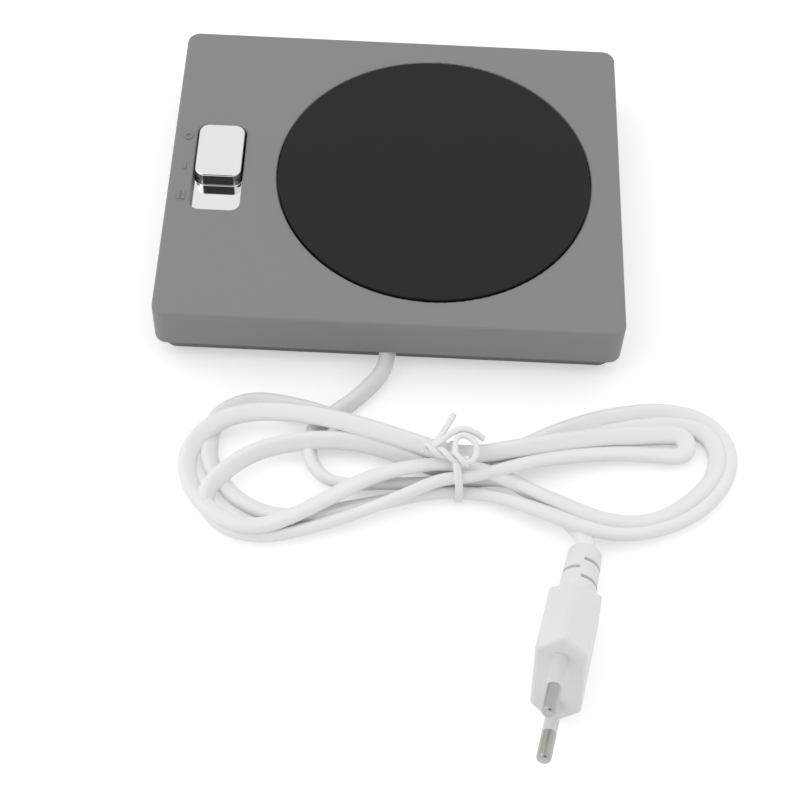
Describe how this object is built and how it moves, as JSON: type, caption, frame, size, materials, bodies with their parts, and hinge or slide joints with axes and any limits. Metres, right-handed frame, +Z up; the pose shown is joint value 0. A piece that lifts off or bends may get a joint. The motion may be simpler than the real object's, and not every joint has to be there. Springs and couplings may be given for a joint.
{
  "type": "electric mug warmer",
  "caption": "Flat electric mug warmer: grey case with a round black warming plate, a chrome slide button beside it, and a flat white mains lead tied in a hank with a flat plug.",
  "frame": {"origin": "on the table under the centre of the case", "axes": "+X along the long side of the case to the right, +Y to the back, +Z up; the lead leaves at -Y"},
  "size_m": [0.1702, 0.247, 0.0332],
  "materials": {
    "case_grey": "fine spark-textured moulding",
    "case_dark": "fine spark-textured moulding",
    "guide_black": "moulded",
    "plate_black": "heat-cured non-stick coating",
    "seal_rubber": "moulded silicone",
    "mica": "pressed sheet",
    "felt": "pressed fibre",
    "element_foil": "etched foil",
    "zinc_steel": "zinc-plated",
    "aluminium": "drawn",
    "phenolic": "moulded",
    "brass": "stamped",
    "fuse_metal": "tinned",
    "glass_sleeve": "braided glass fibre",
    "button_chrome": "bright-plated plastic",
    "ball_steel": "polished",
    "diode_black": "moulded",
    "cord_white": "extruded soft vinyl",
    "wire_brown": "extruded vinyl",
    "wire_blue": "extruded vinyl",
    "crimp_tin": "tinned",
    "tie_white": "moulded",
    "pin_nickel": "nickel-plated brass",
    "foot_rubber": "moulded"
  },
  "bodies": {
    "housing": {"bottom_cover": "case_dark", "case_screws": "zinc_steel", "clamp_screws": "zinc_steel", "cord_clamp": "guide_black", "cord_hank": "cord_white", "cord_inner": "cord_white", "cord_lead": "cord_white", "cord_tail": "cord_white", "cord_tie": "tie_white", "crimp_connectors": "crimp_tin", "diode": "diode_black", "element_wire": "wire_brown", "foot_front_left": "foot_rubber", "foot_front_right": "foot_rubber", "foot_rear_left": "foot_rubber", "foot_rear_right": "foot_rubber", "fuse_clip": "zinc_steel", "fuse_sleeve": "glass_sleeve", "guide_screws": "zinc_steel", "heating_element": "element_foil", "heating_plate": "plate_black", "insulation_pad": "felt", "live_wire": "wire_brown", "mica_lower": "mica", "mica_upper": "mica", "neutral_wire": "wire_blue", "pin_sleeves": "tie_white", "plate_screws": "zinc_steel", "plate_seal": "seal_rubber", "plug_body": "cord_white", "plug_pins": "pin_nickel", "retaining_plate": "zinc_steel", "slide_guide": "guide_black", "switch_base": "phenolic", "switch_frame": "zinc_steel", "switch_screws": "zinc_steel", "switch_terminals": "brass", "switch_wire": "wire_brown", "thermal_fuse": "fuse_metal", "thermostat_body": "phenolic", "thermostat_cap": "aluminium", "thermostat_screws": "zinc_steel", "thermostat_terminals": "brass", "thermostat_wire": "wire_brown", "top_shell": "case_grey"},
    "slider": {"slide_button": "button_chrome", "switch_actuator": "guide_black", "moving_contact": "brass", "detent_ball": "ball_steel", "detent_spring": "ball_steel"}
  },
  "joints": [
    {"name": "heat_slide", "type": "slide", "parent": "housing", "child": "slider", "axis": [0, -1, 0], "range_m": [0, 0.0122]}
  ]
}
